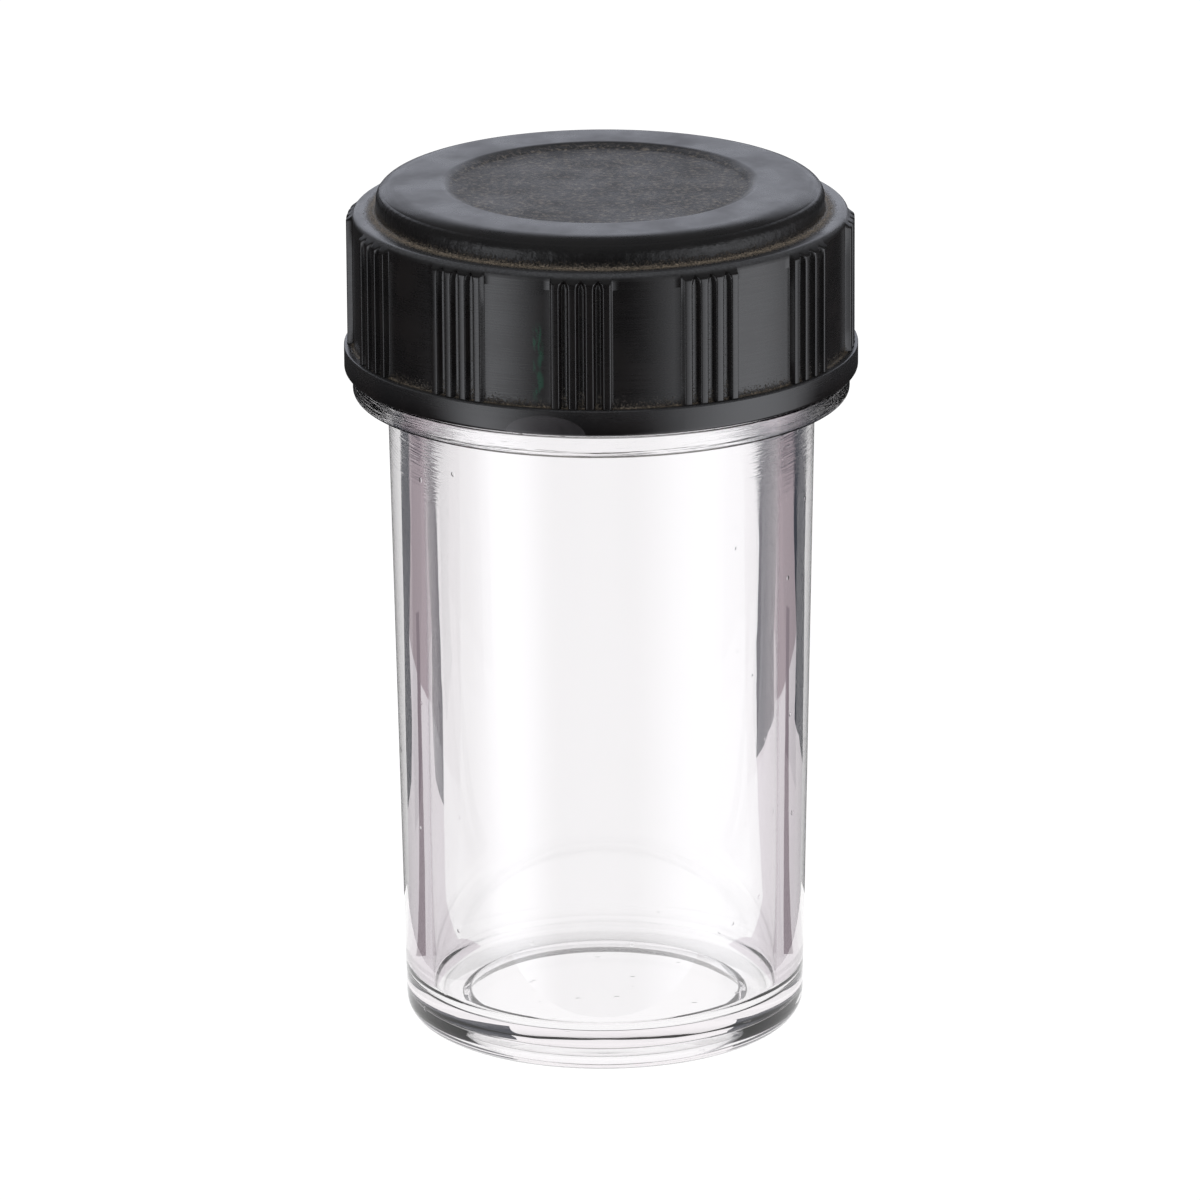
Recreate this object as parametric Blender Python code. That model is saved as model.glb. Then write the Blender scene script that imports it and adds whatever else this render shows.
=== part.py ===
"""Screw-top specimen jar: a clear jar, a ribbed black cap and the two-layer liner inside the cap.

Run with: blender --background --python part.py
Lengths are in metres and +Z is up. The origin is the centre of the jar's base, where it stands.
The front of the jar faces -Y.
"""

import math

import bmesh
import bpy

MM = 0.001
SEGMENTS = 72
GAP = 0.25 * MM

# Jar body: a drafted tube with a thick wall
FOOT_ROUND = 2.0 * MM
BODY_R_FOOT = 16.85 * MM
BODY_R_COLLAR = 17.9 * MM
BORE_R_FLOOR = 14.6 * MM
BORE_R_MOUTH = 15.05 * MM
FLOOR_Z = 3.25 * MM
FLOOR_FILLET = 1.4 * MM
RECESS_R = 12.0 * MM
RECESS_DEPTH = 1.3 * MM

# Collar that the cap's skirt comes down to
COLLAR_R = 20.8 * MM
COLLAR_Z = 54.95 * MM
COLLAR_TOP_Z = 56.8 * MM
COLLAR_ROUND = 0.5 * MM

# Cap: skirt, flange, drum, ledge and raised disc
CAP_BOTTOM_Z = COLLAR_TOP_Z + GAP
CAP_TOP_Z = 72.95 * MM
CAP_BORE_R = 19.1 * MM
CEILING_Z = 70.0 * MM
FLANGE_R = 21.5 * MM
FLANGE_TOP_Z = 59.25 * MM
FLANGE_ROUND = 0.35 * MM
DRUM_R = 20.7 * MM
LEDGE_Z = 70.6 * MM
LEDGE_ROUND = 0.5 * MM
DISC_R = 18.7 * MM
DISC_ROUND_R = 2.0 * MM
DISC_ROUND_Z = 1.25 * MM
COVE_R = 0.45 * MM
DISH_R = 12.65 * MM
DISH_DEPTH = 0.5 * MM
DISH_STEP_R = 0.35 * MM

# Grip ribs: groups of narrow raised ribs with plain panels between the groups
RIB_GROUPS = 12
RIBS_PER_GROUP = 4
FIRST_GROUP_DEG = -4.5
RIB_PITCH_DEG = 3.85
RIB_CREST_R = 21.2 * MM
RIB_ROOT_R = 20.2 * MM
RIB_ROOT_WIDTH = 1.15 * MM
RIB_CREST_WIDTH = 0.6 * MM
RIB_CREST_TOP_Z = 69.5 * MM
RIB_ROOT_TOP_Z = 70.35 * MM

# Liner: a wad against the cap's ceiling and a thin facing under it
WAD_R = 18.7 * MM
WAD_THICKNESS = 1.0 * MM
FACING_R = 18.6 * MM
FACING_THICKNESS = 0.35 * MM
WAD_TOP_Z = CEILING_Z - GAP
FACING_TOP_Z = WAD_TOP_Z - WAD_THICKNESS - GAP
RIM_Z = FACING_TOP_Z - FACING_THICKNESS - GAP

# Neck and the right-hand thread that the jar and the cap share
NECK_R = 17.6 * MM
RIM_CHAMFER = 0.3 * MM
THREAD_LEAD = 4.2 * MM
THREAD_TURNS = 1.25
THREAD_HEIGHT = 1.1 * MM
THREAD_ROOT_WIDTH = 2.0 * MM
THREAD_CREST_WIDTH = 1.0 * MM
THREAD_SINK = 0.3 * MM
THREAD_RUN_OUT_DEG = 30.0
THREAD_STEPS_PER_TURN = 48
THREAD_START_DEG = 1.25  # keeps the ridge's corners off the corners of the turned walls
JAR_THREAD_Z = 60.2 * MM
CAP_THREAD_Z = JAR_THREAD_Z - THREAD_LEAD / 2 + 0.45 * MM


def clear_scene():
    for obj in list(bpy.data.objects):
        bpy.data.objects.remove(obj, do_unlink=True)


def plastic(name, colour, roughness, transmission=0.0, ior=1.5):
    material = bpy.data.materials.new(name)
    material.use_nodes = True
    shader = material.node_tree.nodes["Principled BSDF"]
    shader.inputs["Base Color"].default_value = (*colour, 1.0)
    shader.inputs["Roughness"].default_value = roughness
    shader.inputs["Metallic"].default_value = 0.0
    shader.inputs["Transmission Weight"].default_value = transmission
    shader.inputs["IOR"].default_value = ior
    return material


def arc(centre_r, centre_z, radius_r, radius_z, start_deg, end_deg, steps):
    """Points of an elliptical arc in the (radius, height) plane, both ends included."""
    points = []
    for i in range(steps + 1):
        angle = math.radians(start_deg + (end_deg - start_deg) * i / steps)
        points.append((centre_r + radius_r * math.cos(angle), centre_z + radius_z * math.sin(angle)))
    return points


def new_object(name, mesh_data, material):
    mesh = bpy.data.meshes.new(name)
    mesh_data.to_mesh(mesh)
    mesh_data.free()
    if material:
        mesh.materials.append(material)
    mesh.shade_smooth()
    mesh.set_sharp_from_angle(angle=math.radians(35))
    obj = bpy.data.objects.new(name, mesh)
    bpy.context.collection.objects.link(obj)
    return obj


def lathe(name, outline, material):
    """Turn an outline, given as (radius, height) points from axis to axis, about Z."""
    mesh_data = bmesh.new()
    verts = [mesh_data.verts.new((radius, 0.0, height)) for radius, height in outline]
    edges = [mesh_data.edges.new(pair) for pair in zip(verts, verts[1:])]
    bmesh.ops.spin(
        mesh_data,
        geom=verts + edges,
        cent=(0, 0, 0),
        axis=(0, 0, 1),
        angle=math.tau,
        steps=SEGMENTS,
        use_merge=True,
    )
    bmesh.ops.remove_doubles(mesh_data, verts=mesh_data.verts, dist=1e-7)
    bmesh.ops.recalc_face_normals(mesh_data, faces=mesh_data.faces)
    return new_object(name, mesh_data, material)


def add_prism(mesh_data, rings):
    """Add a closed solid that passes through rings of four corners each."""
    loops = [[mesh_data.verts.new(point) for point in ring] for ring in rings]
    for first, second in zip(loops, loops[1:]):
        for i in range(4):
            j = (i + 1) % 4
            mesh_data.faces.new((first[i], first[j], second[j], second[i]))
    mesh_data.faces.new(loops[0])
    mesh_data.faces.new(loops[-1])


def rib_angles_deg():
    """Angles of all the ribs, from the front of the jar, positive towards +X."""
    angles = []
    for group in range(RIB_GROUPS):
        centre = FIRST_GROUP_DEG + group * 360 / RIB_GROUPS
        for rib in range(RIBS_PER_GROUP):
            angles.append(centre + (rib - (RIBS_PER_GROUP - 1) / 2) * RIB_PITCH_DEG)
    return angles


def ribs_solid():
    """All the grip ribs: trapezoids that stand on the flange and slope away at the top."""
    mesh_data = bmesh.new()
    corners = (
        (RIB_ROOT_R, -RIB_ROOT_WIDTH / 2, RIB_ROOT_TOP_Z),
        (RIB_CREST_R, -RIB_CREST_WIDTH / 2, RIB_CREST_TOP_Z),
        (RIB_CREST_R, RIB_CREST_WIDTH / 2, RIB_CREST_TOP_Z),
        (RIB_ROOT_R, RIB_ROOT_WIDTH / 2, RIB_ROOT_TOP_Z),
    )
    bottom_z = FLANGE_TOP_Z - 0.5 * MM
    for angle_deg in rib_angles_deg():
        angle = math.radians(angle_deg)
        bottom = []
        top = []
        for radius, offset, top_z in corners:
            x = radius * math.sin(angle) + offset * math.cos(angle)
            y = -radius * math.cos(angle) + offset * math.sin(angle)
            bottom.append((x, y, bottom_z))
            top.append((x, y, top_z))
        add_prism(mesh_data, (bottom, top))
    bmesh.ops.recalc_face_normals(mesh_data, faces=mesh_data.faces)
    return new_object("ribs_cutter", mesh_data, None)


def thread_solid(name, root_r, direction, start_z):
    """A helical ridge on root_r, raised outwards (direction 1) or inwards (direction -1)."""
    mesh_data = bmesh.new()
    steps = round(THREAD_TURNS * THREAD_STEPS_PER_TURN)
    rings = []
    for i in range(steps + 1):
        turn_deg = 360 * THREAD_TURNS * i / steps
        angle = math.radians(THREAD_START_DEG + turn_deg)
        to_end_deg = min(turn_deg, 360 * THREAD_TURNS - turn_deg)
        rise = 0.12 + 0.88 * min(1.0, to_end_deg / THREAD_RUN_OUT_DEG)
        centre_z = start_z + THREAD_LEAD * turn_deg / 360
        root_half = THREAD_ROOT_WIDTH / 2
        crest_half = THREAD_CREST_WIDTH / 2
        sunk_r = root_r - direction * THREAD_SINK
        crest_r = root_r + direction * THREAD_HEIGHT * rise
        ring = []
        for radius, offset in (
            (sunk_r, -root_half),
            (crest_r, -crest_half),
            (crest_r, crest_half),
            (sunk_r, root_half),
        ):
            ring.append((radius * math.cos(angle), radius * math.sin(angle), centre_z + offset))
        rings.append(ring)
    add_prism(mesh_data, rings)
    bmesh.ops.recalc_face_normals(mesh_data, faces=mesh_data.faces)
    return new_object(name, mesh_data, None)


def unite(target, addition):
    """Fuse a second solid into the target with a live Boolean modifier."""
    addition.hide_render = True
    addition.display_type = "WIRE"
    addition.parent = target
    addition.matrix_parent_inverse = target.matrix_world.inverted()
    boolean = target.modifiers.new(addition.name, "BOOLEAN")
    boolean.operation = "UNION"
    boolean.solver = "EXACT"
    boolean.object = addition


def jar_outline():
    foot_r = BODY_R_FOOT - FOOT_ROUND
    outline = [(0.0, RECESS_DEPTH), (RECESS_R, RECESS_DEPTH), (RECESS_R, 0.0)]
    outline += arc(foot_r, FOOT_ROUND, FOOT_ROUND, FOOT_ROUND, -90, 0, 5)
    outline += [(BODY_R_COLLAR, COLLAR_Z)]
    outline += arc(COLLAR_R - COLLAR_ROUND, COLLAR_Z + COLLAR_ROUND, COLLAR_ROUND, COLLAR_ROUND, -90, 0, 3)
    outline += [(COLLAR_R, COLLAR_TOP_Z), (NECK_R, COLLAR_TOP_Z)]
    outline += [(NECK_R, RIM_Z - RIM_CHAMFER), (NECK_R - RIM_CHAMFER, RIM_Z)]
    outline += [(BORE_R_MOUTH + RIM_CHAMFER, RIM_Z), (BORE_R_MOUTH, RIM_Z - RIM_CHAMFER)]
    fillet_r = BORE_R_FLOOR - FLOOR_FILLET
    outline += arc(fillet_r, FLOOR_Z + FLOOR_FILLET, FLOOR_FILLET, FLOOR_FILLET, 0, -90, 3)
    outline += [(0.0, FLOOR_Z)]
    return outline


def cap_outline():
    lead_in = 0.45 * MM
    outline = [(0.0, CEILING_Z), (CAP_BORE_R, CEILING_Z), (CAP_BORE_R, CAP_BOTTOM_Z + lead_in)]
    outline += [(CAP_BORE_R + lead_in, CAP_BOTTOM_Z), (FLANGE_R - FLANGE_ROUND, CAP_BOTTOM_Z)]
    outline += [(FLANGE_R, CAP_BOTTOM_Z + FLANGE_ROUND), (FLANGE_R, FLANGE_TOP_Z)]
    outline += [(DRUM_R, FLANGE_TOP_Z)]
    outline += arc(DRUM_R - LEDGE_ROUND, LEDGE_Z - LEDGE_ROUND, LEDGE_ROUND, LEDGE_ROUND, 0, 90, 3)
    outline += arc(DISC_R + COVE_R, LEDGE_Z + COVE_R, COVE_R, COVE_R, -90, -180, 3)
    disc_z = CAP_TOP_Z - DISC_ROUND_Z
    outline += arc(DISC_R - DISC_ROUND_R, disc_z, DISC_ROUND_R, DISC_ROUND_Z, 0, 90, 5)
    dish_z = CAP_TOP_Z - DISH_DEPTH
    outline += [(DISH_R, dish_z + DISH_STEP_R), (DISH_R - DISH_STEP_R, dish_z), (0.0, dish_z)]
    return outline


def disc_outline(radius, top_z, thickness):
    return [(0.0, top_z - thickness), (radius, top_z - thickness), (radius, top_z), (0.0, top_z)]


def build_jar_body():
    clear = plastic("clear_polystyrene", (0.97, 0.96, 0.97), 0.03, transmission=1.0, ior=1.59)
    jar = lathe("jar_body", jar_outline(), clear)
    unite(jar, thread_solid("jar_thread_cutter", NECK_R, 1, JAR_THREAD_Z))
    return jar


def build_screw_cap():
    black = plastic("black_phenolic", (0.018, 0.018, 0.020), 0.38)
    cap = lathe("screw_cap", cap_outline(), black)
    unite(cap, ribs_solid())
    unite(cap, thread_solid("cap_thread_cutter", CAP_BORE_R, -1, CAP_THREAD_Z))
    return cap


def build_liner():
    board = plastic("pulpboard", (0.62, 0.53, 0.40), 0.85)
    film = plastic("liner_film", (0.86, 0.84, 0.78), 0.35)
    lathe("liner_wad", disc_outline(WAD_R, WAD_TOP_Z, WAD_THICKNESS), board)
    lathe("liner_facing", disc_outline(FACING_R, FACING_TOP_Z, FACING_THICKNESS), film)


def main():
    clear_scene()
    build_jar_body()
    build_liner()
    build_screw_cap()


main()
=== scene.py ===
"""The look of the screw-top specimen jar: fine meshes, materials, studio and camera.

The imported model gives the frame. Lengths are in metres, +Z is up and the front faces -Y.
"""

import math

import bpy
import numpy as np
from mathutils import Matrix, Vector


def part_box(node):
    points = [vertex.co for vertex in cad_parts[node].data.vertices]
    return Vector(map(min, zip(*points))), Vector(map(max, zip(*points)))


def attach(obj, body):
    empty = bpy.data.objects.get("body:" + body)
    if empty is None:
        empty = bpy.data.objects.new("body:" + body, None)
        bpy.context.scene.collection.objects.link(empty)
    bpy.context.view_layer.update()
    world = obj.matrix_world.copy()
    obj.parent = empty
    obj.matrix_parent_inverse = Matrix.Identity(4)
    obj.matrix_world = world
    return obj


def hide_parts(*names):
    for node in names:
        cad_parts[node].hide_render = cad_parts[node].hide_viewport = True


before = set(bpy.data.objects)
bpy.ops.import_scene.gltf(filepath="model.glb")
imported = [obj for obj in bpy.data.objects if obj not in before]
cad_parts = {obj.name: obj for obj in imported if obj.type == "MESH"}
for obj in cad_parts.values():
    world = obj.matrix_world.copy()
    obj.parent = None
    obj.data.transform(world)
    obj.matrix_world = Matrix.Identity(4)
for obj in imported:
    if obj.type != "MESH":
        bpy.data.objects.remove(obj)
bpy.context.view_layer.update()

MM = 0.001
SAME = 1e-6  # radii closer than this are one radius
JAR_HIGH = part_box("jar_body")[1]
CAP_LOW, CAP_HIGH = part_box("screw_cap")
WAD_LOW, WAD_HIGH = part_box("liner_wad")
FACING_LOW, FACING_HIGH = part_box("liner_facing")

# Jar body
GAP = 0.25 * MM  # between the cap and what it nearly touches: the collar and the liner
COLLAR_R = JAR_HIGH.x
RIM_Z = JAR_HIGH.z
COLLAR_THICKNESS = 1.85 * MM
COLLAR_TOP_Z = CAP_LOW.z - GAP
COLLAR_Z = COLLAR_TOP_Z - COLLAR_THICKNESS
BODY_R_FOOT = 16.85 * MM
BODY_R_COLLAR = 17.9 * MM
FOOT_ROUND = 2.0 * MM
BORE_R_FLOOR = 14.6 * MM
BORE_R_MOUTH = 15.05 * MM
FLOOR_Z = 3.25 * MM
FLOOR_FILLET = 1.4 * MM
RECESS_R = 12.05 * MM
RECESS_TOP_R = 11.45 * MM
RECESS_DEPTH = 1.3 * MM
NECK_R = 17.6 * MM
BORE_MARKS_Z = 44 * MM  # the tool marks in the bore start here and grow upwards
BORE_MARKS_RISE = 12 * MM
JAR_COLUMNS = 320

# Cap
FLANGE_R = CAP_HIGH.x
CAP_TOP_Z = CAP_HIGH.z
CAP_BOTTOM_Z = CAP_LOW.z
CEILING_Z = WAD_HIGH.z + GAP
FLANGE_HEIGHT = 2.2 * MM
FLANGE_TOP_Z = CAP_BOTTOM_Z + FLANGE_HEIGHT
CAP_BORE_R = 19.1 * MM
DRUM_R = 20.7 * MM
DRUM_INNER_R = 20.0 * MM  # everything on the drum's outside is further out than this
DISC_HEIGHT = 2.35 * MM
LEDGE_Z = CAP_TOP_Z - DISC_HEIGHT
LEDGE_INNER_R = 19.4 * MM  # the grey band on the ledge starts here: dust, with a painted highlight on the ledge's rounded outer edge
LEDGE_CORNER_R = 19.1 * MM  # most dust lies here, at the foot of the disc
DISC_R = 18.7 * MM
DISC_ROUND_R = 2.0 * MM
DISC_ROUND_Z = 1.25 * MM
DISH_R = 12.65 * MM
DISH_DEPTH = 0.4 * MM
DISH_SLOPE_HALF = 0.5 * MM
DISH_ROUND = 0.9 * MM
INSIDE_COLUMN_RATIO = 3  # the cap's outside has this many times as many columns as its inside

# Liner
DISC_COLUMNS = 144
WAD_RIM_MARK = 0.05 * MM
FACING_RIM_MARK = 0.08 * MM

# Grip ribs
RIB_GROUPS = 12
RIBS_PER_GROUP = 4
FIRST_GROUP_DEG = -4.5
RIB_PITCH_DEG = 3.85
RIB_HEIGHT = 0.5 * MM
RIB_CREST_HALF = 0.2 * MM
RIB_EDGE_ROUND = 0.12 * MM
RIB_FLANK_DEG = 70
RIB_TOE = 0.04 * MM
PANEL_COLUMNS = 9
RIB_TOP_Z = LEDGE_Z - 0.2 * MM
RIB_SLOPE = 0.55 * MM
GROOVE_TIP = 1.1 * MM

# Right-hand thread
THREAD_LEAD = 4.2 * MM
THREAD_TURNS = 1.25
THREAD_HEIGHT = 1.1 * MM
THREAD_CREST_HALF = 0.42 * MM
THREAD_ROOT_HALF = 1.0 * MM
THREAD_RUN_OUT = math.radians(30)
THREAD_START = math.radians(90)
JAR_THREAD_Z = COLLAR_TOP_Z + 3.4 * MM
CAP_THREAD_Z = JAR_THREAD_Z - THREAD_LEAD / 2 + 0.45 * MM

# Two marks on the front of the cap: a green stain on a panel and a rubbed arch on the flange
STAIN_X = -5.15 * MM
STAIN_Z = 63.0 * MM
STAIN_HALF_WIDTH = 0.5 * MM
STAIN_HALF_HEIGHT = 3.6 * MM
RUB_X = -4.6 * MM
RUB_HALF_WIDTH = 3.3 * MM
RUB_HEIGHT = 1.7 * MM

# Plastics
CLEAR_IOR = 1.59
BLACK_IOR = 1.55

# Stage, in mm and degrees from the front
TABLE_REACH = 4000
NEAR_REACH = 30
WINDOW_DISTANCE = 150
WINDOW_LOW, WINDOW_HIGH = -120, 70
WINDOW_LEFT_DEG = (-78, -22)
WINDOW_RIGHT_DEG = (14, 108)
SWEEP_DISTANCE = 700
SWEEP_LOW, SWEEP_HIGH = 90, 520
SWEEP_DEG = (150, 210)
DARK_WALL_HEIGHT = 220

# How brightly the stage and the sky glow, where 1 is white
TABLE_GLOW = 1.06  # a little over white, so that the picture's ground is clean white
THROUGH_GLOW = 1.0
WINDOW_GLOW = 2.4
SWEEP_GLOW = 1.1
SKY_LOW, SKY_HIGH = 0.03, 0.2

# Camera: a long lens looking down a little
CAMERA_DISTANCE = 841 * MM
CAMERA_HEIGHT = 297.5 * MM
CAMERA_PITCH_DEG = 17.243
CAMERA_ROLL_DEG = -0.35
CAMERA_SIDE = -0.22 * MM
CAMERA_LENS = 313.5
SENSOR_WIDTH = 36.0
CLIP_NEAR, CLIP_FAR = 0.05, 20.0


# ---------------------------------------------------------------- mesh tools


def rounded(corners, steps=7):
    """An outline of (radius, height) points from corners (radius, height, fillet)."""
    points = []
    for i, (r, z, fillet) in enumerate(corners):
        here = Vector((r, z))
        if fillet == 0 or i in (0, len(corners) - 1):
            points.append(here)
            continue
        back = (Vector(corners[i - 1][:2]) - here).normalized()
        onward = (Vector(corners[i + 1][:2]) - here).normalized()
        half = back.angle(onward) / 2
        reach = fillet / math.tan(half)
        centre = here + (back + onward).normalized() * fillet / math.sin(half)
        start = here + back * reach - centre
        sweep = (here + onward * reach - centre).angle_signed(start)
        for k in range(steps + 1):
            points.append(centre + Matrix.Rotation(sweep * k / steps, 2) @ start)
    return points


def subdivided(points, longest):
    """The same outline with its long straight stretches cut into steps."""
    fine = [points[0]]
    for a, b in zip(points, points[1:]):
        count = max(1, math.ceil((b - a).length / longest))
        for k in range(1, count + 1):
            fine.append(a.lerp(b, k / count))
    return fine


def same_radius(r, radius):
    """Whether a point at r lies on the straight face that has this radius."""
    return abs(r - radius) < SAME


def cut_rows(outline, fine_radius, fine, coarse):
    """The outline in steps, without its last point: fine where it runs up at fine_radius."""
    rows = []
    for a, b in zip(outline, outline[1:]):
        is_fine = same_radius(a.x, fine_radius) and same_radius(b.x, fine_radius)
        rows += subdivided([a, b], fine if is_fine else coarse)[:-1]
    return rows


def turned(points, angles, shape):
    """Rings of 3-D points: shape(radius, height, angles) gives each ring's radii."""
    rings = []
    for r, z in points:
        radii = shape(r, z, angles)
        x, y = radii * np.sin(angles), -radii * np.cos(angles)
        rings.append(np.stack([x, y, np.full_like(angles, z)], axis=1))
    return rings


def plain(r, z, angles):
    """The shape of a round piece: one radius at every angle."""
    return np.full_like(angles, r)


class Skin:
    """Collects rings of vertices and the faces between them."""

    def __init__(self):
        self.verts = []
        self.faces = []
        self.count = 0

    def pole(self, z):
        """Adds a vertex on the axis."""
        self.verts.append(np.array([[0.0, 0.0, z]]))
        self.count += 1
        return self.count - 1

    def ring(self, ring):
        self.verts.append(ring)
        first = self.count
        self.count += len(ring)
        return np.arange(first, self.count)

    def between(self, a, b):
        for i in range(len(a)):
            j = (i + 1) % len(a)
            self.faces.append((a[i], a[j], b[j], b[i]))

    def wall(self, rings, inward=False):
        """Faces from each ring to the next."""
        for a, b in zip(rings, rings[1:]):
            self.between(*((b, a) if inward else (a, b)))

    def fan(self, pole, ring, up):
        for i in range(len(ring)):
            j = (i + 1) % len(ring)
            self.faces.append((ring[i], ring[j], pole) if up else (ring[j], ring[i], pole))

    def merge_down(self, coarse, fine):
        """Faces from a coarse ring to a ring with a whole number of times as many points."""
        ratio = len(fine) // len(coarse)
        for i in range(len(coarse)):
            j = (i + 1) % len(coarse)
            run = [fine[(i * ratio + k) % len(fine)] for k in range(ratio, -1, -1)]
            self.faces.append((coarse[i], coarse[j], *run))

    def build(self, name, sharp_deg=40):
        mesh = bpy.data.meshes.new(name)
        faces = [tuple(int(v) for v in face) for face in self.faces]
        mesh.from_pydata(np.concatenate(self.verts).tolist(), [], faces)
        mesh.validate()
        mesh.shade_smooth()
        mesh.set_sharp_from_angle(angle=math.radians(sharp_deg))
        obj = bpy.data.objects.new(name, mesh)
        bpy.context.collection.objects.link(obj)
        weighted = obj.modifiers.new("weighted_normals", "WEIGHTED_NORMAL")
        weighted.keep_sharp = True
        return obj


def ease(x):
    """A smooth step from 0 to 1."""
    x = np.clip(x, 0.0, 1.0)
    return x * x * (3 - 2 * x)


def bell(x, middle, width):
    """1 at the middle, falling smoothly to nothing on both sides."""
    return np.exp(-(((x - middle) / width) ** 2))


def paint(obj, name, values):
    """Store one number per vertex for the materials to read."""
    layer = obj.data.attributes.new(name, "FLOAT", "POINT")
    layer.data.foreach_set("value", np.asarray(values, dtype=np.float32))


def vertex_table(obj):
    """Every vertex's position, and its distance from the axis."""
    points = np.zeros(len(obj.data.vertices) * 3, np.float32)
    obj.data.vertices.foreach_get("co", points)
    points = points.reshape(-1, 3).astype(float)
    radius = np.hypot(points[:, 0], points[:, 1])
    return points, radius


# ---------------------------------------------------------------- shapes


def thread_rise(z, angles, start_z):
    """Height of the helical ridge at a height z round the neck, 0 to 1 of full height."""
    rise = np.zeros_like(angles)
    for lap in range(math.ceil(THREAD_TURNS) + 1):
        along = (angles - THREAD_START) % math.tau + lap * math.tau
        end = THREAD_TURNS * math.tau
        fade = ease(np.minimum(along, end - along) / THREAD_RUN_OUT)
        offset = np.abs(z - (start_z + THREAD_LEAD * along / math.tau))
        ridge = 1 - ease((offset - THREAD_CREST_HALF) / (THREAD_ROOT_HALF - THREAD_CREST_HALF))
        rise = np.maximum(rise, ridge * fade)
    return rise


def neck_shape(r, z, angles):
    on_neck = same_radius(r, NECK_R)
    return r + on_neck * THREAD_HEIGHT * thread_rise(z, angles, JAR_THREAD_Z)


def bore_shape(r, z, angles):
    on_bore = same_radius(r, CAP_BORE_R)
    return r - on_bore * THREAD_HEIGHT * thread_rise(z, angles, CAP_THREAD_Z)


def rib_section():
    """Half a rib from crest to foot: distances from its middle, and heights from 0 to 1."""
    tilt = np.radians(np.linspace(0, RIB_FLANK_DEG, 4))
    edge = RIB_CREST_HALF + RIB_EDGE_ROUND * np.sin(tilt)
    drop = RIB_EDGE_ROUND * (1 - np.cos(tilt))
    flank = (RIB_HEIGHT - drop[-1] - RIB_TOE) / math.tan(math.radians(RIB_FLANK_DEG))
    distances = np.concatenate([[0.0], edge, edge[-1] + flank + np.array([0.0, 0.06 * MM])])
    heights = np.concatenate([[RIB_HEIGHT], RIB_HEIGHT - drop, [RIB_TOE, 0.0]]) / RIB_HEIGHT
    return distances, heights


def rib_offsets():
    """Signed distances round the drum at which a rib's section is sampled."""
    half = rib_section()[0]
    return np.concatenate([-half[:0:-1], half])


def cap_angles():
    """Angles of the cap's columns: close together on the ribs, wide on the plain panels."""
    pitch = math.radians(RIB_PITCH_DEG)
    found = []
    for group in range(RIB_GROUPS):
        centre = math.radians(FIRST_GROUP_DEG + group * 360 / RIB_GROUPS)
        first = centre - (RIBS_PER_GROUP - 1) / 2 * pitch
        for rib in range(RIBS_PER_GROUP):
            found += list(first + rib * pitch + rib_offsets() / DRUM_R)
            if rib < RIBS_PER_GROUP - 1:
                found.append(first + (rib + 0.5) * pitch)
        edge = first + (RIBS_PER_GROUP - 1) * pitch + rib_offsets()[-1] / DRUM_R
        next_edge = first + math.tau / RIB_GROUPS + rib_offsets()[0] / DRUM_R
        for k in range(1, PANEL_COLUMNS + 1):
            found.append(edge + (next_edge - edge) * k / (PANEL_COLUMNS + 1))
    return np.array(found)


def rib_distance(angles):
    """Distance round the drum to the nearest rib's centre, and whether a rib group is near."""
    step = math.tau / RIB_GROUPS
    pitch = math.radians(RIB_PITCH_DEG)
    local = (angles - math.radians(FIRST_GROUP_DEG) + step / 2) % step - step / 2
    index = np.clip(np.round(local / pitch + (RIBS_PER_GROUP - 1) / 2), 0, RIBS_PER_GROUP - 1)
    nearest = (index - (RIBS_PER_GROUP - 1) / 2) * pitch
    inside = np.abs(local) < pitch * (RIBS_PER_GROUP - 1) / 2
    return np.abs(local - nearest) * DRUM_R, inside


def rib_rise(z, angles):
    """Height of the grip ribs, 0 to 1. Each groove between ribs narrows to a point at its top."""
    distance, inside = rib_distance(angles)
    groove_middle = math.radians(RIB_PITCH_DEG) / 2 * DRUM_R
    tip = np.clip((z - (RIB_TOP_Z - GROOVE_TIP)) / GROOVE_TIP, 0, 1) ** 1.6
    narrowed = distance * (1 - tip * inside * (1 - RIB_CREST_HALF / groove_middle))
    slope = ease((RIB_TOP_Z - z) / RIB_SLOPE)
    return np.interp(narrowed, *rib_section()) * slope


def drum_shape(r, z, angles):
    on_drum = z > FLANGE_TOP_Z + 0.02 * MM and r > DISC_R + 1.2 * MM
    return r + on_drum * RIB_HEIGHT * rib_rise(z, angles) * min(1.0, (r / DRUM_R) ** 8)


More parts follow.
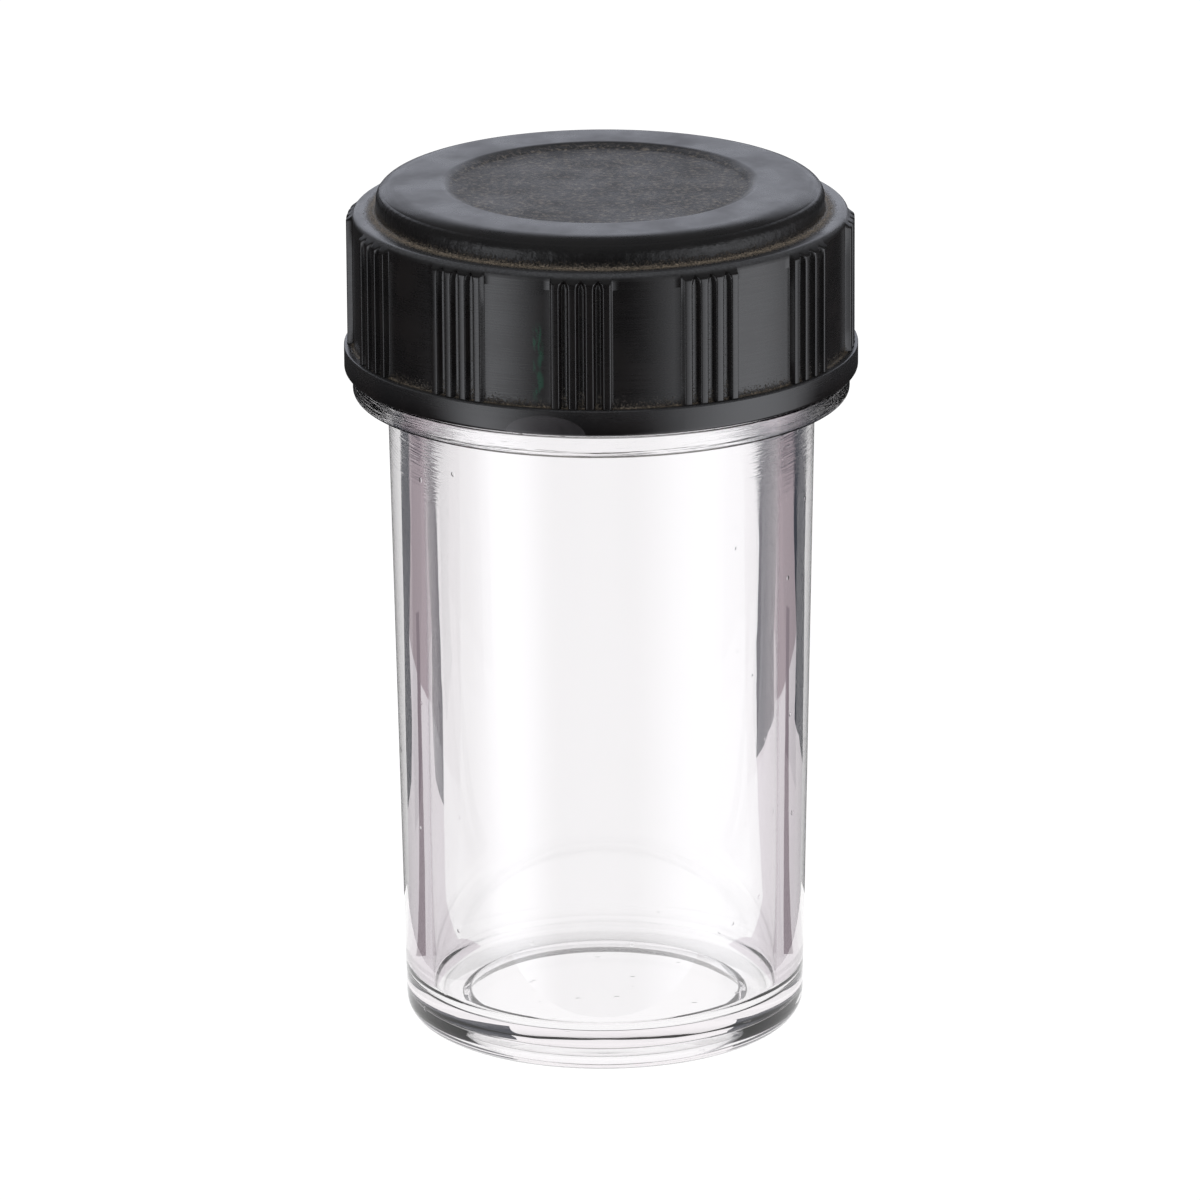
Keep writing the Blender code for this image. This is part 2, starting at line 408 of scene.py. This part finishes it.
def build_jar_body():
    body_slope = (BODY_R_COLLAR - BODY_R_FOOT) / COLLAR_Z
    outline = rounded(
        [
            (0.0, RECESS_DEPTH, 0),
            (RECESS_TOP_R, RECESS_DEPTH, 0.2 * MM),
            (RECESS_R, 0.0, 0.15 * MM),
            (BODY_R_FOOT - body_slope * FOOT_ROUND, 0.0, FOOT_ROUND),
            (BODY_R_COLLAR, COLLAR_Z, 0.35 * MM),
            (COLLAR_R, COLLAR_Z, 0.5 * MM),
            (COLLAR_R, COLLAR_TOP_Z, 0.2 * MM),
            (NECK_R, COLLAR_TOP_Z, 0.3 * MM),
            (NECK_R, RIM_Z, 0.3 * MM),
            (BORE_R_MOUTH, RIM_Z, 0.3 * MM),
            (BORE_R_FLOOR, FLOOR_Z, FLOOR_FILLET),
            (0.0, FLOOR_Z, 0),
        ]
    )
    rows = cut_rows(outline, NECK_R, 0.22 * MM, 2.5 * MM)[1:]
    angles = np.linspace(0, math.tau, JAR_COLUMNS, endpoint=False)
    skin = Skin()
    bottom = skin.pole(RECESS_DEPTH)
    rings = [skin.ring(ring) for ring in turned(rows, angles, neck_shape)]
    floor = skin.pole(FLOOR_Z)
    skin.fan(bottom, rings[0], up=False)
    skin.wall(rings)
    skin.fan(floor, rings[-1], up=True)
    jar = skin.build("clear_jar")

    points, radius = vertex_table(jar)
    z = points[:, 2]
    on_collar = (z > COLLAR_Z + 0.1 * MM) & (z < COLLAR_TOP_Z - 0.05 * MM)
    on_collar &= radius > COLLAR_R - 0.1 * MM
    in_bore = (radius < BORE_R_MOUTH + 0.02 * MM) * ease((z - BORE_MARKS_Z) / BORE_MARKS_RISE)
    paint(jar, "tool_marks", np.maximum(on_collar, 0.3 * in_bore))
    jar.data.materials.append(clear_material())
    return jar


def cap_outer_outline():
    dish_z = CAP_TOP_Z - DISH_DEPTH
    points = rounded(
        [
            (FLANGE_R - 1.0 * MM, CAP_BOTTOM_Z, 0),
            (FLANGE_R, CAP_BOTTOM_Z, 0.35 * MM),
            (FLANGE_R, FLANGE_TOP_Z, 0.12 * MM),
            (DRUM_R, FLANGE_TOP_Z, 0.12 * MM),
            (DRUM_R, LEDGE_Z, 0.45 * MM),
            (DISC_R, LEDGE_Z, 0.4 * MM),
            (DISC_R, CAP_TOP_Z - DISC_ROUND_Z, 0),
        ]
    )
    disc_round_steps = 12
    for k in range(1, disc_round_steps):
        turn = math.radians(90 * k / disc_round_steps)
        r = DISC_R - DISC_ROUND_R * (1 - math.cos(turn))
        points.append(Vector((r, CAP_TOP_Z - DISC_ROUND_Z * (1 - math.sin(turn)))))
    return points + rounded(
        [
            (DISC_R - DISC_ROUND_R, CAP_TOP_Z, 0),
            (DISH_R + DISH_SLOPE_HALF, CAP_TOP_Z, DISH_ROUND),
            (DISH_R - DISH_SLOPE_HALF, dish_z, DISH_ROUND),
            (0.0, dish_z, 0),
        ]
    )


def cap_inner_outline():
    lead_in = 0.45 * MM
    return rounded(
        [
            (CAP_BORE_R + lead_in, CAP_BOTTOM_Z, 0),
            (CAP_BORE_R, CAP_BOTTOM_Z + lead_in, 0.2 * MM),
            (CAP_BORE_R, CEILING_Z, 0.4 * MM),
            (0.0, CEILING_Z, 0),
        ],
        steps=5,
    )


def build_screw_cap():
    outer = cap_outer_outline()
    rows = []
    for a, b in zip(outer, outer[1:]):
        if same_radius(a.x, DRUM_R) and same_radius(b.x, DRUM_R):
            break_z = RIB_TOP_Z - max(RIB_SLOPE, GROOVE_TIP) - 0.1 * MM
            middle = Vector((DRUM_R, break_z))
            rows += subdivided([a, middle], 2.0 * MM)[:-1]
            rows += subdivided([middle, b], 0.11 * MM)[:-1]
        else:
            rows += subdivided([a, b], 1.8 * MM)[:-1]
    angles = cap_angles()
    skin = Skin()
    outer_rings = [skin.ring(ring) for ring in turned(rows, angles, drum_shape)]
    top = skin.pole(CAP_TOP_Z - DISH_DEPTH)
    skin.wall(outer_rings)
    skin.fan(top, outer_rings[-1], up=True)

    coarse = angles[::INSIDE_COLUMN_RATIO]
    inner_rows = cut_rows(cap_inner_outline(), CAP_BORE_R, 0.25 * MM, 2.0 * MM)
    inner_rings = [skin.ring(ring) for ring in turned(inner_rows, coarse, bore_shape)]
    ceiling = skin.pole(CEILING_Z)
    skin.merge_down(inner_rings[0], outer_rings[0])
    skin.wall(inner_rings, inward=True)
    skin.fan(ceiling, inner_rings[-1], up=False)
    cap = skin.build("black_cap", sharp_deg=60)

    points, radius = vertex_table(cap)
    paint(cap, "dust", cap_dust(points, radius))
    z = points[:, 2]
    outside = (radius > CAP_BORE_R + 0.2 * MM) | (z > CEILING_Z + 1 * MM)
    paint(cap, "grain", (1 - ease((radius - DISH_R + 0.2 * MM) / (0.7 * MM))) * outside)
    on_flange = ease((FLANGE_TOP_Z - 0.2 * MM - z) / (0.2 * MM)) * outside
    disc_wall = ease((z - LEDGE_Z - 0.05 * MM) / (0.3 * MM)) * (z < CAP_TOP_Z - 0.6 * MM)
    disc_wall *= (radius > DISC_R - 0.6 * MM) & (radius < DISC_R + 0.3 * MM)
    paint(cap, "disc_wall", disc_wall)
    paint(cap, "panels", (1 - on_flange) * (z < RIB_TOP_Z) * outside)
    paint(cap, "satin", (z > LEDGE_Z - 0.6 * MM) * outside)
    # Grey band on the ledge: partly dust, partly a painted highlight where its rounded outer edge
    # catches light from above.
    on_ledge = ease((z - LEDGE_Z + 0.45 * MM) / (0.3 * MM)) * (z < LEDGE_Z + 0.3 * MM)
    on_ledge *= radius > LEDGE_INNER_R
    # Painted highlight: a pale band along the flange's top edge, where the rounded edge catches
    # light from above.
    flange_edge_highlight = bell(z, FLANGE_TOP_Z, 0.1 * MM) * (radius > FLANGE_R - 0.25 * MM)
    paint(cap, "dust_film_and_edge_highlight", np.maximum(on_ledge, 0.8 * flange_edge_highlight))
    cap.data.materials.append(cap_material())
    return cap


def cap_dust(points, radius):
    """How much dust settles: in the ledge's corner, the grooves, and along the flange."""
    z = points[:, 2]
    angles = np.arctan2(points[:, 0], -points[:, 1])
    distance, inside = rib_distance(angles)
    ledge = bell(radius, LEDGE_CORNER_R, 0.5 * MM) * (np.abs(z - LEDGE_Z) < 0.45 * MM)
    dish_edge = 0.3 * bell(radius, DISH_R, 0.45 * MM) * (z > LEDGE_Z + 1 * MM)
    in_groove = ease((distance - 0.36 * MM) / (0.12 * MM)) * (radius < DRUM_R + 0.2 * MM)
    on_drum = (z > FLANGE_TOP_Z - 0.05 * MM) & (z < LEDGE_Z - 0.2 * MM) & (radius > DRUM_INNER_R)
    groove = 0.35 * in_groove * inside * on_drum
    above_flange = np.clip((z - FLANGE_TOP_Z) / (0.45 * MM), 0, 1)
    flange = 0.8 * (1 - above_flange) * on_drum * (radius < DRUM_R + 0.3 * MM)
    return np.clip(np.maximum.reduce([ledge, dish_edge, groove, flange]), 0, 1)


def build_disc(name, low, high, ring_mark):
    """A flat round layer with soft edges and, underneath, the mark that the rim presses in."""
    radius = high.x
    soft = 0.3 * (high.z - low.z)
    corners = [(0.0, low.z, 0), (radius, low.z, soft), (radius, high.z, soft), (0.0, high.z, 0)]
    rows = subdivided(rounded(corners, steps=4), 0.35 * MM)
    rows = [row for row in rows if row.x > 0.2 * MM]
    angles = np.linspace(0, math.tau, DISC_COLUMNS, endpoint=False)
    marked = []
    for r, z in rows:
        press = ease((r - BORE_R_MOUTH) / (0.4 * MM)) * ease((NECK_R + 0.3 * MM - r) / (0.4 * MM))
        is_under = z < low.z + soft * 0.2
        marked.append(Vector((r, z + (ring_mark * press if is_under else 0.0))))
    skin = Skin()
    under = skin.pole(low.z)
    rings = [skin.ring(ring) for ring in turned(marked, angles, plain)]
    top = skin.pole(high.z)
    skin.fan(under, rings[0], up=False)
    skin.wall(rings)
    skin.fan(top, rings[-1], up=True)
    return skin.build(name, sharp_deg=60)


# ---------------------------------------------------------------- materials


class Nodes:
    """Short names for building a material's node tree."""

    def __init__(self, name):
        self.material = bpy.data.materials.new(name)
        self.material.use_nodes = True
        self.tree = self.material.node_tree
        self.shader = self.tree.nodes["Principled BSDF"]
        self.output = self.tree.nodes["Material Output"]
        self.place = self.add("ShaderNodeTexCoord").outputs["Object"]

    def add(self, kind, **settings):
        node = self.tree.nodes.new(kind)
        for key, value in settings.items():
            setattr(node, key, value)
        return node

    def link(self, source, target):
        self.tree.links.new(source, target)

    def feed(self, socket, value):
        """Links a socket, or sets it to a plain value."""
        if isinstance(value, bpy.types.NodeSocket):
            self.link(value, socket)
        else:
            socket.default_value = value

    def scaled(self, x, y, z):
        node = self.add("ShaderNodeMapping")
        node.inputs["Scale"].default_value = (x, y, z)
        self.link(self.place, node.inputs["Vector"])
        return node.outputs["Vector"]

    def noise(self, per_metre, detail=3.0, roughness=0.55, vector=None):
        node = self.add("ShaderNodeTexNoise")
        node.inputs["Scale"].default_value = per_metre
        node.inputs["Detail"].default_value = detail
        node.inputs["Roughness"].default_value = roughness
        self.link(vector or self.place, node.inputs["Vector"])
        return node.outputs["Fac"]

    def position(self):
        """Where the shaded point is on the object, as x, y and z."""
        node = self.add("ShaderNodeSeparateXYZ")
        self.link(self.place, node.inputs["Vector"])
        return node.outputs["X"], node.outputs["Y"], node.outputs["Z"]

    def within(self, value, middle, half):
        """1 near the middle, fading to 0 at the half width."""
        away = self.math("ABSOLUTE", self.math("SUBTRACT", value, middle))
        return self.ramp(away, half, half * 0.7)

    def cells(self, per_metre):
        """The distance to the nearest of many scattered points."""
        node = self.add("ShaderNodeTexVoronoi")
        node.inputs["Scale"].default_value = per_metre
        self.link(self.place, node.inputs["Vector"])
        return node.outputs["Distance"]

    def attribute(self, name):
        return self.add("ShaderNodeAttribute", attribute_name=name).outputs["Fac"]

    def math(self, operation, a, b=0.0, clamp=False):
        node = self.add("ShaderNodeMath", operation=operation, use_clamp=clamp)
        self.feed(node.inputs[0], a)
        self.feed(node.inputs[1], b)
        return node.outputs[0]

    def ramp(self, value, low, high, out_low=0.0, out_high=1.0):
        node = self.add("ShaderNodeMapRange", interpolation_type="SMOOTHSTEP")
        self.feed(node.inputs["Value"], value)
        node.inputs["From Min"].default_value = low
        node.inputs["From Max"].default_value = high
        node.inputs["To Min"].default_value = out_low
        node.inputs["To Max"].default_value = out_high
        return node.outputs["Result"]

    def mix(self, factor, a, b):
        node = self.add("ShaderNodeMix", data_type="RGBA")
        self.feed(node.inputs["Factor"], factor)
        self.feed(node.inputs["A"], a)
        self.feed(node.inputs["B"], b)
        return node.outputs["Result"]

    def bump(self, height, strength, distance, normal=None):
        node = self.add("ShaderNodeBump")
        node.inputs["Strength"].default_value = strength
        node.inputs["Distance"].default_value = distance
        self.link(height, node.inputs["Height"])
        if normal:
            self.link(normal, node.inputs["Normal"])
        return node.outputs["Normal"]


def clear_material():
    m = Nodes("clear_polystyrene")
    shader = m.shader
    shader.inputs["Base Color"].default_value = (0.985, 0.98, 0.985, 1)
    shader.inputs["Transmission Weight"].default_value = 1.0
    shader.inputs["IOR"].default_value = CLEAR_IOR
    marks = m.attribute("tool_marks")
    rings = m.noise(1.0, detail=2.0, vector=m.scaled(160, 160, 6500))
    ripple = m.noise(170.0, detail=2.0)
    m.link(m.math("MULTIPLY", marks, 0.1), shader.inputs["Roughness"])
    fine = m.bump(ripple, 0.012, 0.0004)
    specks = m.ramp(m.cells(260.0), 0.06, 0.03)
    fine = m.bump(specks, 0.35, 0.00005, fine)
    m.link(m.bump(m.math("MULTIPLY", rings, marks), 1.0, 0.00007, fine), shader.inputs["Normal"])
    absorb = m.add("ShaderNodeVolumeAbsorption")
    absorb.inputs["Color"].default_value = (0.90, 0.84, 0.87, 1)
    absorb.inputs["Density"].default_value = 18.0
    m.link(absorb.outputs["Volume"], m.output.inputs["Volume"])
    return m.material


def cap_material():
    m = Nodes("black_phenolic")
    dust = m.attribute("dust")
    grain = m.attribute("grain")
    satin = m.attribute("satin")
    dust_film_and_edge_highlight = m.attribute("dust_film_and_edge_highlight")
    fine = m.noise(9000.0, detail=2.0)
    cloud = m.noise(260.0, detail=4.0)
    specks = m.noise(5200.0, detail=4.0, roughness=0.7)
    rings = m.noise(1.0, detail=3.0, vector=m.scaled(220, 220, 8000))
    settled = m.math("ADD", m.math("MULTIPLY", dust, 0.56), m.math("MULTIPLY", specks, 0.75))
    dust_here = m.ramp(settled, 0.62, 1.0)
    black = m.mix(m.ramp(cloud, 0.35, 0.7), (0.0035, 0.003, 0.0032, 1), (0.006, 0.0048, 0.0048, 1))
    coarse = m.noise(2600.0, detail=3.0, roughness=0.75)
    grainy = m.mix(m.ramp(coarse, 0.47, 0.68), (0.007, 0.007, 0.0075, 1), (0.13, 0.108, 0.085, 1))
    colour = m.mix(grain, black, grainy)
    # Grey over the black: dust on the ledge, and painted highlights on the ledge's outer edge and
    # the flange's top edge.
    dust_and_highlight_amount = m.math("MULTIPLY", dust_film_and_edge_highlight, m.ramp(specks, 0.3, 0.7, 0.45, 1.0))
    colour = m.mix(dust_and_highlight_amount, colour, (0.05, 0.051, 0.055, 1))
    dusty = m.mix(m.ramp(fine, 0.35, 0.65), (0.04, 0.03, 0.02, 1), (0.27, 0.22, 0.165, 1))
    x, y, z = m.position()
    front = m.math("LESS_THAN", y, 0.0)
    streaks = m.noise(1.0, detail=3.0, vector=m.scaled(2500, 2500, 700))
    across = m.within(x, STAIN_X, STAIN_HALF_WIDTH)
    up = m.within(z, STAIN_Z, STAIN_HALF_HEIGHT)
    stain = m.math("MULTIPLY", m.math("MULTIPLY", across, up), front)
    stain = m.math("MULTIPLY", stain, m.ramp(streaks, 0.42, 0.6))
    colour = m.mix(stain, colour, (0.004, 0.032, 0.018, 1))
    arch_x = m.math("DIVIDE", m.math("SUBTRACT", x, RUB_X), RUB_HALF_WIDTH)
    arch_z = m.math("DIVIDE", m.math("SUBTRACT", z, CAP_BOTTOM_Z), RUB_HEIGHT)
    arch = m.math("ADD", m.math("MULTIPLY", arch_x, arch_x), m.math("MULTIPLY", arch_z, arch_z))
    rubbed = m.math("MULTIPLY", m.ramp(arch, 1.04, 0.97), front)
    rubbed = m.math("MULTIPLY", rubbed, m.ramp(cloud, 0.3, 0.6, 0.4, 1.0))
    colour = m.mix(rubbed, colour, (0.026, 0.024, 0.026, 1))
    m.link(m.mix(dust_here, colour, dusty), m.shader.inputs["Base Color"])
    polish = m.ramp(cloud, 0.3, 0.75, 0.13, 0.19)
    polish = m.math("ADD", polish, m.ramp(rings, 0.35, 0.7, 0.0, 0.05))
    soft = m.math("MULTIPLY", satin, m.ramp(cloud, 0.3, 0.75, 0.1, 0.16))
    brushed = m.math("MULTIPLY", m.attribute("panels"), 0.1)
    disc_wall = m.attribute("disc_wall")
    scuffs = m.noise(1300.0, detail=4.0, roughness=0.6)
    polish = m.math("ADD", polish, m.math("ADD", brushed, m.math("MULTIPLY", disc_wall, 0.14)))
    matte = m.math("MULTIPLY", m.math("MAXIMUM", m.math("MULTIPLY", grain, 0.3), dust_here), 0.5)
    rough = m.math("ADD", m.math("ADD", polish, soft), matte, clamp=True)
    m.link(rough, m.shader.inputs["Roughness"])
    m.shader.inputs["IOR"].default_value = BLACK_IOR
    gritty = m.math("MULTIPLY", m.math("MAXIMUM", grain, dust_here), specks)
    normal = m.bump(gritty, 0.8, 0.00009)
    normal = m.bump(rings, 0.12, 0.00003, normal)
    normal = m.bump(m.math("MULTIPLY", scuffs, disc_wall), 0.5, 0.00025, normal)
    m.link(m.bump(fine, 0.12, 0.00002, normal), m.shader.inputs["Normal"])
    return m.material


def board_material():
    m = Nodes("pulpboard")
    fibre = m.noise(3000.0, detail=5.0, vector=m.scaled(1, 3, 1))
    fleck = m.noise(1400.0, detail=2.0)
    base = m.mix(m.ramp(fibre, 0.3, 0.7), (0.36, 0.27, 0.17, 1), (0.55, 0.44, 0.30, 1))
    flecked = m.mix(m.ramp(fleck, 0.62, 0.72), base, (0.20, 0.14, 0.08, 1))
    m.link(flecked, m.shader.inputs["Base Color"])
    m.shader.inputs["Roughness"].default_value = 0.9
    m.link(m.bump(fibre, 0.5, 0.00008), m.shader.inputs["Normal"])
    return m.material


def film_material():
    m = Nodes("liner_film")
    cloud = m.noise(500.0, detail=3.0)
    base = m.mix(m.ramp(cloud, 0.3, 0.7), (0.72, 0.69, 0.60, 1), (0.80, 0.78, 0.72, 1))
    m.link(base, m.shader.inputs["Base Color"])
    m.link(m.ramp(cloud, 0.3, 0.7, 0.28, 0.42), m.shader.inputs["Roughness"])
    m.link(m.bump(cloud, 0.2, 0.00005), m.shader.inputs["Normal"])
    return m.material


def glow_material(name, colour, strength):
    """A stage card's own light, which needs no lamp."""
    material = bpy.data.materials.new(name)
    material.use_nodes = True
    tree = material.node_tree
    tree.nodes.remove(tree.nodes["Principled BSDF"])
    glow = tree.nodes.new("ShaderNodeEmission")
    glow.inputs["Color"].default_value = (*colour, 1)
    glow.inputs["Strength"].default_value = strength
    tree.links.new(glow.outputs["Emission"], tree.nodes["Material Output"].inputs["Surface"])
    return material


def soft_glow_material(name, colour, strength):
    """A glow that fades out towards the left and right edges of its card."""
    material = glow_material(name, colour, strength)
    tree = material.node_tree
    place = tree.nodes.new("ShaderNodeTexCoord")
    split = tree.nodes.new("ShaderNodeSeparateXYZ")
    tree.links.new(place.outputs["Generated"], split.inputs["Vector"])
    rise = tree.nodes.new("ShaderNodeMath")
    rise.operation = "PINGPONG"
    tree.links.new(split.outputs["X"], rise.inputs[0])
    half = 0.5
    rise.inputs[1].default_value = half
    fade = tree.nodes.new("ShaderNodeMapRange")
    fade.interpolation_type = "SMOOTHSTEP"
    tree.links.new(rise.outputs[0], fade.inputs["Value"])
    fade.inputs["From Max"].default_value = half
    fade.inputs["To Max"].default_value = strength
    tree.links.new(fade.outputs["Result"], tree.nodes["Emission"].inputs["Strength"])
    return material


# ---------------------------------------------------------------- studio


def panel(name, corners, material, seen_by):
    """A flat stage card through its corners, in mm, seen only by the kinds of ray in seen_by.

    Each card turns about the jar's axis with the camera, as if the jar stood on a turntable in a
    fixed studio, so that the clear wall meets the same stage from every side.
    """
    mesh = bpy.data.meshes.new(name)
    mesh.from_pydata([Vector(corner) * MM for corner in corners], [], [range(len(corners))])
    mesh.materials.append(material)
    card = bpy.data.objects.new(name, mesh)
    bpy.context.collection.objects.link(card)
    for kind in ("camera", "diffuse", "glossy", "transmission", "shadow", "volume_scatter"):
        setattr(card, "visible_" + kind, kind in seen_by)
    turn = card.constraints.new("LOCKED_TRACK")
    turn.target = bpy.context.scene.camera
    turn.track_axis = "TRACK_NEGATIVE_Y"
    turn.lock_axis = "LOCK_Z"


def square(reach, z):
    """Corners of a level square round the jar's axis."""
    return [(-reach, -reach, z), (reach, -reach, z), (reach, reach, z), (-reach, reach, z)]


def standing_card(name, degrees, distance, low, high, material, seen_by):
    """A card that stands beside the jar between two angles from the front."""
    a, b = (math.radians(angle) for angle in degrees)
    left = (distance * math.sin(a), -distance * math.cos(a))
    right = (distance * math.sin(b), -distance * math.cos(b))
    corners = [(*left, low), (*right, low), (*right, high), (*left, high)]
    panel(name, corners, material, seen_by)


def ground_patch(name, side, corners, material, z=0):
    """A patch on the table, on the left (-1) or right (1), that shows only through the plastic."""
    panel(name, [(side * x, y, z) for x, y in corners], material, ("transmission",))


def build_table():
    """The white table: as the camera sees it, as it shows through the jar, and mirrored in it."""
    white = glow_material("table_white", (1, 1, 1), TABLE_GLOW)
    seen_through = glow_material("table_seen_through", (1, 1, 1), THROUGH_GLOW)
    panel("table", square(TABLE_REACH, -0.05), white, ("camera", "diffuse", "shadow"))
    panel("table_behind", square(TABLE_REACH, -0.06), seen_through, ("transmission",))
    panel("table_near", square(NEAR_REACH, -0.04), white, ("glossy",))


def build_dark_cards():
    """The dark and grey cards at both sides, which draw the clear body's edges."""
    black = glow_material("flag_black", (0.055, 0.06, 0.075), 1.0)
    grey = glow_material("flag_grey", (0.45, 0.385, 0.415), 1.0)
    pale = glow_material("shadow_grey", (0.77, 0.73, 0.76), 1.0)
    line_grey = glow_material("line_grey", (0.30, 0.25, 0.28), 1.0)
    # Each outline below runs outwards from the jar, as (distance to the side, distance behind).
    inner_edges = {
        "left": [(25, 31), (35, 57), (46, 87), (75, 143), (125, 235)],
        "right": [(25, 31), (34, 72), (45, 108), (58, 140), (85, 235)],
    }
    outer_edge = [(62, 75), (75, 101), (109, 125)]
    far, outside, front = (200, 235), (96, 48), (85, 0)
    far_front, side_far = (330, 0), (330, 150)
    line = [(24, 13), (29, 10), (105, 87), (98, 93)]
    top = Vector((0, 0, DARK_WALL_HEIGHT))
    for side, name, wall_x in ((-1, "left", 136), (1, "right", 84)):
        inner = inner_edges[name]
        near_edge = (48, inner[1][1] + 4)
        dark = [near_edge, *outer_edge, far, *reversed(inner[1:])]
        mauve = [outside, front, far_front, side_far, far, *reversed(outer_edge[1:])]
        shade = [(12, 12), (17, 0), front, outside]
        shade += [*reversed(outer_edge[:2]), near_edge, *reversed(inner[:2])]
        ground_patch("dark_ground_" + name, side, dark, black)
        ground_patch("grey_ground_" + name, side, mauve, grey)
        ground_patch("soft_shadow_" + name, side, shade, pale)
        ground_patch("dark_line_" + name, side, line, line_grey, z=0.1)
        wall_near, wall_far = Vector((side * wall_x, 232, 0)), Vector((side * 330, 0, 0))
        corners = [wall_near, wall_far, wall_far + top, wall_near + top]
        panel("dark_wall_" + name, corners, black, ("transmission",))


def build_bright_cards():
    """The bright cards that the cap and the clear wall mirror."""
    bright = soft_glow_material("window_white", (0.93, 0.95, 1.0), WINDOW_GLOW)
    window = (WINDOW_DISTANCE, WINDOW_LOW, WINDOW_HIGH, bright, ("glossy", "diffuse"))
    standing_card("window_left", WINDOW_LEFT_DEG, *window)
    standing_card("window_right", WINDOW_RIGHT_DEG, *window)
    sweep = glow_material("sweep_white", (0.86, 0.89, 1.0), SWEEP_GLOW)
    standing_card("sweep", SWEEP_DEG, SWEEP_DISTANCE, SWEEP_LOW, SWEEP_HIGH, sweep, ("glossy",))


def build_world():
    """White all round, but where a surface mirrors it a dim sky that brightens overhead."""
    world = bpy.data.worlds.new("studio")
    bpy.context.scene.world = world
    world.use_nodes = True
    tree = world.node_tree
    tree.nodes.clear()

    def add(kind, **settings):
        node = tree.nodes.new(kind)
        for key, value in settings.items():
            setattr(node, key, value)
        return node

    path = add("ShaderNodeLightPath")
    place = add("ShaderNodeTexCoord")
    split = add("ShaderNodeSeparateXYZ")
    tree.links.new(place.outputs["Generated"], split.inputs["Vector"])
    sky = add("ShaderNodeMapRange")
    tree.links.new(split.outputs["Z"], sky.inputs["Value"])
    sky.inputs["To Min"].default_value = SKY_LOW
    sky.inputs["To Max"].default_value = SKY_HIGH
    reflected = add("ShaderNodeBackground")
    reflected.inputs["Color"].default_value = (0.93, 0.96, 1.0, 1)
    tree.links.new(sky.outputs["Result"], reflected.inputs["Strength"])
    white = add("ShaderNodeBackground")
    white.inputs["Color"].default_value = (1, 1, 1, 1)
    mirrored = add("ShaderNodeMath", operation="SUBTRACT", use_clamp=True)
    tree.links.new(path.outputs["Is Glossy Ray"], mirrored.inputs[0])
    tree.links.new(path.outputs["Is Transmission Ray"], mirrored.inputs[1])
    dimmer = add("ShaderNodeMapRange")
    tree.links.new(path.outputs["Is Transmission Ray"], dimmer.inputs["Value"])
    dimmer.inputs["To Min"].default_value = TABLE_GLOW
    dimmer.inputs["To Max"].default_value = THROUGH_GLOW
    tree.links.new(dimmer.outputs["Result"], white.inputs["Strength"])
    choose = add("ShaderNodeMixShader")
    tree.links.new(mirrored.outputs[0], choose.inputs["Fac"])
    tree.links.new(white.outputs[0], choose.inputs[1])
    tree.links.new(reflected.outputs[0], choose.inputs[2])
    output = add("ShaderNodeOutputWorld")
    tree.links.new(choose.outputs[0], output.inputs["Surface"])


def build_camera():
    data = bpy.data.cameras.new("camera")
    data.sensor_width = SENSOR_WIDTH
    data.lens = CAMERA_LENS
    data.clip_start = CLIP_NEAR
    data.clip_end = CLIP_FAR
    camera = bpy.data.objects.new("camera", data)
    bpy.context.collection.objects.link(camera)
    tilt = Matrix.Rotation(math.radians(90 - CAMERA_PITCH_DEG), 4, "X")
    roll = Matrix.Rotation(math.radians(CAMERA_ROLL_DEG), 4, "Z")
    place = Matrix.Translation((CAMERA_SIDE, -CAMERA_DISTANCE, CAMERA_HEIGHT))
    camera.matrix_world = place @ tilt @ roll
    bpy.context.scene.camera = camera


def set_colour_view():
    view = bpy.context.scene.view_settings
    view.view_transform = "Standard"
    view.look = "None"


def main():
    jar = build_jar_body()
    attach(jar, "jar")
    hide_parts("jar_body")

    cap = build_screw_cap()
    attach(cap, "cap")
    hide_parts("screw_cap")

    wad = build_disc("backing_wad", WAD_LOW, WAD_HIGH, WAD_RIM_MARK)
    wad.data.materials.append(board_material())
    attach(wad, "liner")
    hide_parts("liner_wad")

    facing = build_disc("sealing_film", FACING_LOW, FACING_HIGH, FACING_RIM_MARK)
    facing.data.materials.append(film_material())
    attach(facing, "liner")
    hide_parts("liner_facing")

    build_camera()
    build_table()
    build_dark_cards()
    build_bright_cards()
    build_world()
    set_colour_view()


main()
